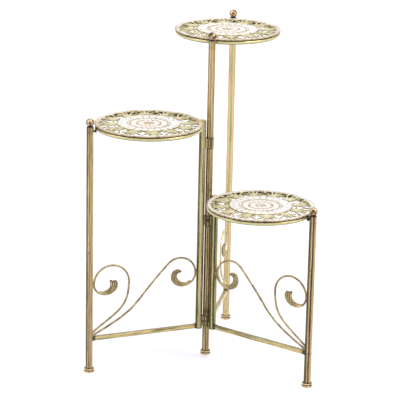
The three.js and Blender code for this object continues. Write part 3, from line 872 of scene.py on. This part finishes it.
def plate_mesh():
    """The openwork plate, its faces and the values that its paint reads."""
    around = np.linspace(0, TAU, 576, endpoint=False)
    rows = np.concatenate([
        np.linspace(0, 22, 20), np.linspace(23, 69.4, 54), np.linspace(70.0, 112.4, 56),
        [113.0, 113.6, 114.2, 114.8, 115.6, 116.6, 117.8, 118.3, 118.8, 119.4, 120.0,
         120.3, 120.6, 120.8, 120.92, TRAY_RADIUS],
    ])

    def upper(u, v):
        _, relief, _ = tray_parts(u, v)
        edge = np.clip((v - TRAY_RADIUS) / EDGE_EASE + 1, 0, 1)
        z = -RELIEF_HEIGHT * (1 - relief) - EDGE_EASE * (1 - np.sqrt(1 - edge**2))
        return np.column_stack([v * np.cos(u), v * np.sin(u), z])

    def lower(u, v):
        _, relief, _ = tray_parts(u, v)
        z = np.where(v < BORDER_START, UNDERSIDE["medallion"] + 0.25 * relief,
                     UNDERSIDE["border"] + 0.4 * relief)
        z = np.where(v > RIM_START - 0.5, -TRAY_THICKNESS, z)
        return np.column_stack([v * np.cos(u), v * np.sin(u), z])

    extra = {
        "wash_and_highlight": lambda u, v, top: tray_parts(u, v)[2] if top else np.full(u.shape, 0.15),
        "relief": lambda u, v, top: tray_parts(u, v)[1] if top else np.full(u.shape, 0.3),
        # painted shade under the plate, deepest under its outer edge
        "dark": lambda u, v, top: 0.0 * u if top else np.where(v > 118, 1.1, 0.7),
        "pale": lambda u, v, top: 1.0 * ((v < BORDER_START - 0.6) | (v > RIM_START - 0.3)),
    }
    return pierced(around, rows, lambda u, v: tray_parts(u, v)[0], upper, lower, extra)


def ring_mesh():
    """The bar ring under the rim, with streaks that run round it. Brown painted shade lies on its
    top, under the rim, and along its lower edge and inner side."""
    around = 192
    sides = 24
    major = TRAY_RADIUS - RING_INSET - RING_BAR
    points = []
    flow = []
    dark = []
    for i in range(around):
        a = TAU * i / around
        for k in range(sides):
            b = TAU * k / sides
            radius = major + RING_BAR * math.cos(b) * 0.995
            height = RING_TALL * math.sin(b) - 0.35
            points.append((radius * math.cos(a), radius * math.sin(a), height))
            reach = RING_BAR * (b - math.pi) * MM
            flow.append((0.11 * math.cos(a), 0.004 * math.sin(a) + reach, 0.11 * math.sin(a)))
            # painted shade on the ring's top under the rim, on its lower edge and on its inner side
            up = math.degrees(math.atan2(math.sin(b), math.cos(b)))
            outside = np.interp(up, [-90, -42, -22, 22, 44, 90], [1.0, 0.8, 0.0, 0.0, 0.9, 1.2])
            inside = 0.45 if up < 0 else 0.9
            dark.append(inside if abs(up) > 90 else outside)
    return np.array(points), tube_faces(around, sides, True), np.array(flow), np.array(dark)


PIN_RADIUS = 2.4
LUG_THICKNESS = 2.2
LUG_HALF_WIDTH = 4.4
LUG_HALF_HEIGHT = 5.9
LUG_LIFT = 2.6  # how far the plate's middle lies above its pin
LUG_SIDES = 40


def add_lug(panel, name, body, x, height, outer, seed):
    """A pivot lug on the tray's ring: a rounded plate and the pin that turns in the post."""
    ring_face = math.sqrt((TRAY_RADIUS - RING_INSET) ** 2 - (TRAY_SHIFT - 4.5) ** 2)
    start = ring_face - 0.4
    end = PANEL_WIDTH / 2 - POST_RADIUS + 5.9
    profile = [(0, start + 1.2), (PIN_RADIUS, start + 1.2), (PIN_RADIUS, end, 1), (0, end)]
    pin, pin_faces = lathe(rounded(profile, 0.5, 3), 28)
    plate = []
    for along_pin in (start, start + LUG_THICKNESS):
        for k in range(LUG_SIDES):
            a = TAU * k / LUG_SIDES
            y = LUG_HALF_WIDTH * math.copysign(abs(math.cos(a)) ** 0.6, math.cos(a))
            z = LUG_HALF_HEIGHT * math.copysign(abs(math.sin(a)) ** 0.6, math.sin(a))
            plate.append((along_pin, y, z + LUG_LIFT))
    plate_faces = tube_faces(2, LUG_SIDES) + end_faces(2, LUG_SIDES)
    points, faces = joined(pin[:, [2, 0, 1]], pin_faces, plate, plate_faces)
    if not outer:
        points = turn(points, 180)
    # painted shade on the lug's plate and pin beyond the ring face, lighter on the rest
    dark = np.where(np.abs(points[:, 0]) > ring_face + 0.5, 1.0, 0.35)
    piece(name + "_lug", to_row(points, panel, (x, 0, height - PIVOT_DROP)), faces, body,
          HINGE_PAINT, [name], {"flow": flow_upright(points, seed), "dark": dark})


PLATE = plate_mesh()
RING = ring_mesh()
TRAY_WASH = {"top": 0.0, "middle": 0.0, "low": 0.11}  # how much more white paint each carries


def add_tray(panel, seed):
    _, inner, top, side, _ = PANELS[panel]
    body = TRAY_NAMES[panel] + "_tray"
    x = inner + PANEL_WIDTH / 2
    y = side * TRAY_SHIFT
    points, faces, values = PLATE
    wash_and_highlight = values["wash_and_highlight"] + TRAY_WASH[TRAY_NAMES[panel]]
    piece(body + "_lace", to_row(points, panel, (x, y, top)), faces, body, TRAY_PAINT,
          [body + "_plate"],
          {**values, "flow": points * MM + seed * 0.3, "wash_and_highlight": wash_and_highlight}, 50.0)
    points, faces, flow, dark = RING
    piece(body + "_band", to_row(points, panel, (x, y, top - RING_DROP)), faces, body,
          RING_PAINT, [body + "_ring"], {"flow": flow + seed * 0.2, "dark": dark})
    add_lug(panel, body + "_outer_pivot", body, x, top, True, seed)
    add_lug(panel, body + "_inner_pivot", body, x, top, False, seed + 0.5)


# ---- scrolls ----
# radius and height of a curl, how it closes in, where its bar joins it, how the bar leaves
# its foot, how far the leaf reaches round, and the leaf's inner edge as (share, x, z)
LARGE = {
    "radius": 39.5, "height": 126.0, "decay": 150.0, "join": 45.0,
    "lift": 0.3, "start": 154.0, "pull": 134.0, "push": 135.0, "side": 1,
    "reach": 284.0, "tighten": 0.36, "bumps": (-1.0, 0.4, 0.8, 0.3, 0.8, 0.2, -0.8),
    "inner": [(0.0, -31.2, -15.9), (0.08, -19.5, -20.8), (0.19, -5.0, -18.6), (0.34, 4.2, -9.0),
              (0.50, 5.4, -2.3), (0.75, 2.8, 2.4), (1.0, -2.2, 3.6)],
}
SMALL = {
    "radius": 42.0, "height": 123.0, "decay": 95.0, "join": 0.0,
    "lift": 8.7, "start": 142.5, "pull": 71.0, "push": 65.0, "side": -1,
    "reach": 173.0, "tighten": 0.0, "bumps": (-1.6, 0.6, 1.6, -0.8, 2.0, 1.4, -0.4),
    "inner": [(0.0, -32.9, -16.8), (0.07, -25.0, -18.2), (0.225, -12.4, -15.2), (0.42, -5.4, -10.2),
              (0.757, -2.8, -3.5), (0.9, -3.8, 2.0), (1.0, -4.8, 6.2)],
}
CURL_END = 9.0  # radius that a curl closes in to
CURL_EASING = 40.0  # degrees over which it starts to close in
BAR_TURN = 27.0  # degrees past the post at which the bar turns into the leaf
SCROLL_GAP = 0.3
SCROLL_BASE = SIDE_RAIL_HEIGHT + RAIL_SIZE / 2


def curl_centre(curl):
    """A curl's middle, as (x, z) in its panel."""
    x = POST_RADIUS + SCROLL_GAP + BAR_RADIUS + curl["radius"]
    if curl["side"] < 0:
        x = PANEL_WIDTH - x
    return np.array([x, SCROLL_BASE + curl["height"]])


def curl_frame(curl, degrees):
    """Outer edge of a curl, the way on along it and the way in from it."""
    side = curl["side"]
    centre = curl_centre(curl)

    def edge(at):
        past = max(at - 180, 0)
        closing = past**2 / (2 * CURL_EASING) if past < CURL_EASING else past - CURL_EASING / 2
        start = curl["radius"] + BAR_RADIUS
        radius = CURL_END + (start - CURL_END) * math.exp(-closing / curl["decay"])
        a = math.radians(at)
        return centre + np.array([side * radius * math.cos(a), radius * math.sin(a)])

    here = edge(degrees)
    ahead = edge(degrees + 0.5) - here
    ahead /= np.linalg.norm(ahead)
    inward = np.array([-side * ahead[1], side * ahead[0]])
    return here, ahead, inward


def bar_line(curl):
    """The middle of a scroll's bar, from its foot to the end that the leaf covers."""
    leaving = math.radians(curl["start"])
    joining = math.radians(curl["join"])
    side = curl["side"]
    away = np.array([math.cos(leaving), math.sin(leaving)])
    back = np.array([side * math.sin(joining), -math.cos(joining)])
    foot = np.array([PANEL_WIDTH - POST_RADIUS - SCROLL_GAP - BAR_RADIUS * away[1],
                     SCROLL_BASE + curl["lift"] - BAR_RADIUS * away[0]])
    edge, _, inward = curl_frame(curl, curl["join"])
    join = edge + inward * BAR_RADIUS
    t = np.linspace(0, 1, 90)[:, None]
    pull = foot + away * curl["pull"]
    push = join + back * curl["push"]
    stem = (1 - t) ** 3 * foot + 3 * t * (1 - t) ** 2 * pull
    stem = stem + 3 * t**2 * (1 - t) * push + t**3 * join
    line = [foot - away * 2.2, *stem]
    for degrees in np.linspace(curl["join"], 180 + BAR_TURN + 9, 60)[1:]:
        edge, _, inward = curl_frame(curl, degrees)
        line.append(edge + inward * BAR_RADIUS)
    return np.array(line)


def add_scroll(panel, name, curl, inner, drop, seed):
    """The bar of a scroll, with a weld at its foot and one where it meets the post."""
    line = bar_line(curl)
    run = along(line)
    count = 14
    ways = [TAU * k / count for k in range(count)]
    section = np.array([(math.cos(a), math.sin(a)) for a in ways])
    sizes = 2.42 + 0.05 * np.sin(run * 0.8 + seed) + 0.03 * np.sin(run * 2.3 + seed * 2)
    points, faces = sweep(line, section, np.minimum(sizes, BAR_RADIUS - 0.01))
    around = np.tile(section * BAR_RADIUS, (len(line), 1))
    flow = np.column_stack([np.repeat(run, count) + seed * 90, around]) * MM
    edge, _, inward = curl_frame(curl, 180)
    ball = [(math.sin(a), -math.cos(a)) for a in np.linspace(0.25, math.pi - 0.25, 9)]
    blob, blob_faces = lathe([(0, -1), *ball, (0, 1)], 14)
    lump = 1 + 0.08 * np.sin(blob[:, 0] * 5 + blob[:, 2] * 7 + seed)
    for (x, z), size in (line[0], (3.4, 3.0, 3.0)), (edge - inward * 0.6, (2.0, 3.0, 5.5)):
        weld = blob * size * lump[:, None] + (x, 0, z)
        points, faces = joined(points, faces, weld, blob_faces)
        flow = np.vstack([flow, weld * MM])
    paint = LIT_BACK_BAR_PAINT if panel == "rear" else BAR_PAINT
    piece(name + "_bar", to_row(points, panel, (inner, 0, -drop)), faces, panel + "_panel",
          paint, [name], {"flow": flow})


def through(keys, at):
    """A smooth path through keys of (share, x, z), at one share."""
    places = [key[0] for key in keys]
    points = np.array([key[1:] for key in keys])
    i = int(np.clip(np.searchsorted(places, at, "right") - 1, 0, len(keys) - 2))

    def slope(k):
        a, b = max(k - 1, 0), min(k + 1, len(keys) - 1)
        return (points[b] - points[a]) / (places[b] - places[a])

    span = places[i + 1] - places[i]
    t = (at - places[i]) / span
    first = (2 * t**3 - 3 * t**2 + 1) * points[i] + (t**3 - 2 * t**2 + t) * span * slope(i)
    second = (3 * t**2 - 2 * t**3) * points[i + 1] + (t**3 - t**2) * span * slope(i + 1)
    return first + second


LEAF_STEPS = 110
LEAF_ACROSS = 40
LEAF_FLUTES = 4
LEAF_THICK = 2.95  # half the leaf's thickness, without the edge


def add_leaf(panel, name, curl, inner, drop, seed):
    """The fluted crescent leaf at a curl's end, with a barb where it starts and curled lobes."""
    centre = curl_centre(curl)
    ts = np.linspace(-1, 1, LEAF_ACROSS + 1)
    places = (ts + 1) / 2
    bumps = np.interp(places, [0.0, 0.12, 0.26, 0.52, 0.80, 0.94, 1.0], curl["bumps"])
    columns = list(zip(ts, places, bumps))
    points = []
    flow = []
    dark = []
    run = 0.0
    previous = None
    for share in np.linspace(0, 1, LEAF_STEPS + 1):
        degrees = 180 + BAR_TURN + curl["reach"] * share
        edge, ahead, _ = curl_frame(curl, degrees)
        tighten = curl["tighten"] * np.clip((degrees - 395) / 98, 0, 1) ** 0.75
        outer = (edge - centre) * (1 - tighten)
        if previous is not None:
            run += np.linalg.norm(outer - previous)
        previous = outer
        inside = through(curl["inner"], share) * (curl["side"], 1.0)
        cross = (inside - outer) / np.linalg.norm(inside - outer)
        inside = inside + cross * 3.0 * bell(share, 0.050, 0.020)
        onward = np.array([-cross[1], cross[0]])
        if onward @ ahead < 0:
            onward = -onward
        width = np.linalg.norm(inside - outer)
        start = min(share / 0.03, 1)
        settle = min(share / 0.22, 1)
        lead = max((share - 0.80) / 0.20, 0) ** 2
        end = (1 - max((share - 0.93) / 0.07, 0) ** 2 * 0.75) * (0.62 + 0.38 * settle)
        for face in (1, -1):
            for t, place, bump in columns[::face]:
                x, z = centre + outer + (inside - outer) * place + onward * bump * lead
                body_round = max(1 - abs(t) ** 3.2, 0.0) ** 0.55
                flute = 0.5 + 0.5 * math.cos(TAU * LEAF_FLUTES * place)
                thick = LEAF_THICK * body_round * (1 - 0.40 * flute * settle) * end
                thick = min(thick, 2.98) * start + 0.10
                points.append((x, face * thick, z))
                flow.append((run * MM + seed, place * width * MM, face * thick * MM))
                tip = max((share - 0.90) / 0.10, 0) * (0.20 + 0.60 * place)
                dark.append(min(0.95 * flute**1.5 * settle + tip, 1))
    shape = (LEAF_STEPS + 1, 2 * (LEAF_ACROSS + 1))
    piece(name + "_blade", to_row(points, panel, (inner, 0, -drop)),
          tube_faces(*shape) + flat_ends(*shape), panel + "_panel", LEAF_PAINT,
          [name], {"flow": flow, "dark": dark}, 60.0)


# ---- the stand ----
SEAT = 0.3  # gap between sleeves that rest on one another
LOW_SHORT = REAR_RAIL_HEIGHT + RAIL_SIZE / 2 + SEAT
MIDDLE_SHORT = LOW_SHORT + SHORT_SLEEVE + SEAT
MIDDLE_LONG = PANELS["middle"][2] - 49.0 - LONG_SLEEVE
LOW_LONG = PANELS["low"][2] - 57.0 - LONG_SLEEVE
for number, (panel, (_, inner, tray_top, _, rail_height)) in enumerate(PANELS.items()):
    seed = 1.0 + number * 1.37
    outer = inner + PANEL_WIDTH
    outer_top = tray_top - OUTER_TOP_DROP
    if panel == "rear":
        # darker bands on the centre post: at its rail and next to the lower sleeves, and painted
        # shade below the top tray's pivot and inside the upper sleeves, where their screw holes
        # show it
        add_post(panel, "centre_post", inner, CENTRE_LIFT + FOOT_FLOOR, outer_top, seed + 5, (
            (rail_height, 7.0, 0.4), (MIDDLE_SHORT + SHORT_SLEEVE + 10.0, 16.0, 0.62),
            (outer_top - 14.0, 6.0, 0.4), (MIDDLE_LONG + LONG_SLEEVE / 2, 10.0, 1.6),
            (LOW_LONG + LONG_SLEEVE / 2, 10.0, 1.6),
        ))
        add_ball(panel, "centre_ball", inner, outer_top, seed + 4)
        add_foot(panel, "centre_foot", inner, CENTRE_LIFT, seed + 4)
        outer_name = "rear_post"
    else:
        inner_top = tray_top - INNER_TOP_DROP
        # darker at the rail, and painted shade below the tray's pivot
        corners = ((rail_height, 5.0, 0.45), (inner_top - 8.0, 5.0, 0.4))
        add_post(panel, panel + "_inner_post", inner, INNER_BOTTOM, inner_top, seed + 6, corners)
        add_cap(panel, panel + "_inner_cap", inner, inner_top, seed)
        outer_name = panel + "_outer_post"
    # darker at the rail, and painted shade below the tray's pivot
    corners = ((rail_height, 5.0, 0.45), (outer_top - 14.0, 5.0, 0.45))
    add_post(panel, outer_name, outer, FOOT_FLOOR, outer_top, seed, corners)
    add_ball(panel, panel + "_ball", outer, outer_top, seed)
    add_foot(panel, panel + "_foot", outer, 0.0, seed)
    add_rail(panel, panel + "_rail", inner, rail_height, seed)
    drop = SIDE_RAIL_HEIGHT - rail_height
    for part, add in (("scroll", add_scroll), ("leaf", add_leaf)):
        for size, curl, more in (("large", LARGE, 0), ("small", SMALL, 2)):
            add(panel, f"{panel}_{size}_{part}", curl, inner, drop, seed + more)
    add_tray(panel, seed)

SCREW = (-54.0, LONG_SLEEVE - 9.0)
add_sleeve("middle", "middle_upper_sleeve", MIDDLE_LONG, LONG_SLEEVE, SCREW, 1.0)
add_sleeve("middle", "middle_lower_sleeve", MIDDLE_SHORT, SHORT_SLEEVE, None, 2.0)
add_sleeve("low", "low_upper_sleeve", LOW_LONG, LONG_SLEEVE, SCREW, 3.0)
add_sleeve("low", "low_lower_sleeve", LOW_SHORT, SHORT_SLEEVE, None, 4.0)


# ---- studio ----
HEADING = math.radians(10.65)  # the camera looks this far to the left of +Y
PITCH = 0.291  # and this far down, in radians
ROLL = 0.021
CAMERA_PLACE = (0.7800, -4.3346, 1.6913)
CAMERA_LENS = 180.02
FLOOR_HALF = 9.0
LIT_POINT = (0.0, 0.0, 0.40)  # where the lamps point


def seen_or_lit(graph, lit, seen):
    """One shader for camera rays and reflections, and another for all other light."""
    path = graph.add("LightPath", {})
    either = graph.add("Math", {
        0: path.outputs["Is Camera Ray"], 1: path.outputs["Is Glossy Ray"],
    }, operation="MAXIMUM")
    inputs = {0: either.outputs[0], 1: lit.outputs[0], 2: seen.outputs[0]}
    return graph.add("MixShader", inputs).outputs[0]


def floor_material():
    """Pale floor: plain and matt to the lamps, nearly white to the eye and in reflections,
    with the stand's shadow kept."""
    material = bpy.data.materials.new("studio_floor")
    graph = Graph(material)
    matt = graph.add("BsdfDiffuse", {"Color": (0.80, 0.80, 0.80)})
    shaded = graph.add("BsdfDiffuse", {"Color": (0.53, 0.550, 0.54)})
    place = graph.add("TexCoord", {}).outputs["Object"]
    away = graph.add("VectorMath", {0: place}, operation="LENGTH").outputs["Value"]
    strength = graph.add("MapRange", {
        "Value": away, "From Min": 0.5, "From Max": 2.2, "To Min": 0.655, "To Max": 0.92,
    })
    glow = graph.add("Emission", {"Color": (0.975, 0.950, 1.03), "Strength": strength.outputs[0]})
    seen = graph.add("AddShader", {0: shaded.outputs[0], 1: glow.outputs[0]})
    graph.add("OutputMaterial", {0: seen_or_lit(graph, matt, seen)})
    return material


mesh = bpy.data.meshes.new("floor")
signs = ((-1, -1), (1, -1), (1, 1), (-1, 1))
mesh.from_pydata([(x * FLOOR_HALF, y * FLOOR_HALF, 0) for x, y in signs], [], [(0, 1, 2, 3)])
mesh.materials.append(floor_material())
floor = bpy.data.objects.new("floor", mesh)
bpy.context.scene.collection.objects.link(floor)

world = bpy.data.worlds.new("studio")
bpy.context.scene.world = world
graph = Graph(world)
ambient = graph.add("Background", {0: (0.95, 0.97, 1.0), 1: 0.42})
backdrop = graph.add("Background", {0: (1, 1, 1), 1: 1.0})
graph.add("OutputWorld", {0: seen_or_lit(graph, ambient, backdrop)})


def add_light(name, azimuth, elevation, distance, width, height, power, color):
    """A softbox aimed at the stand; azimuth is counted from the camera's side, to the right."""
    a = math.radians(azimuth) + HEADING
    e = math.radians(elevation)
    away = Vector((math.sin(a) * math.cos(e), -math.cos(a) * math.cos(e), math.sin(e)))
    lamp = bpy.data.lights.new(name, "AREA")
    lamp.shape = "RECTANGLE"
    lamp.size = width
    lamp.size_y = height
    lamp.energy = power
    lamp.color = color
    obj = bpy.data.objects.new(name, lamp)
    bpy.context.scene.collection.objects.link(obj)
    obj.location = Vector(LIT_POINT) + away * distance
    obj.rotation_euler = (-away).to_track_quat("-Z", "Y").to_euler()


add_light("key", 62, 38, 2.6, 1.2, 1.6, 34, (1.0, 0.985, 0.96))
add_light("fill", -70, 30, 2.6, 1.2, 1.8, 18, (0.96, 0.98, 1.0))
add_light("top", 10, 85, 2.4, 1.6, 1.6, 20, (1.0, 1.0, 1.0))

camera = bpy.data.cameras.new("camera")
camera.sensor_width = 36.0
camera.lens = CAMERA_LENS
camera.clip_end = 50.0
eye = bpy.data.objects.new("camera", camera)
bpy.context.scene.collection.objects.link(eye)
heading = Vector((-math.sin(HEADING), math.cos(HEADING), 0))
right = Vector((math.cos(HEADING), math.sin(HEADING), 0))
up = Vector((0, 0, 1))
forward = heading * math.cos(PITCH) - up * math.sin(PITCH)
above = heading * math.sin(PITCH) + up * math.cos(PITCH)
x_axis = right * math.cos(ROLL) + above * math.sin(ROLL)
y_axis = above * math.cos(ROLL) - right * math.sin(ROLL)
basis = Matrix((x_axis, y_axis, -forward)).transposed().to_4x4()
basis.translation = Vector(CAMERA_PLACE)
eye.matrix_world = basis
bpy.context.scene.camera = eye
bpy.context.scene.view_settings.view_transform = "Standard"
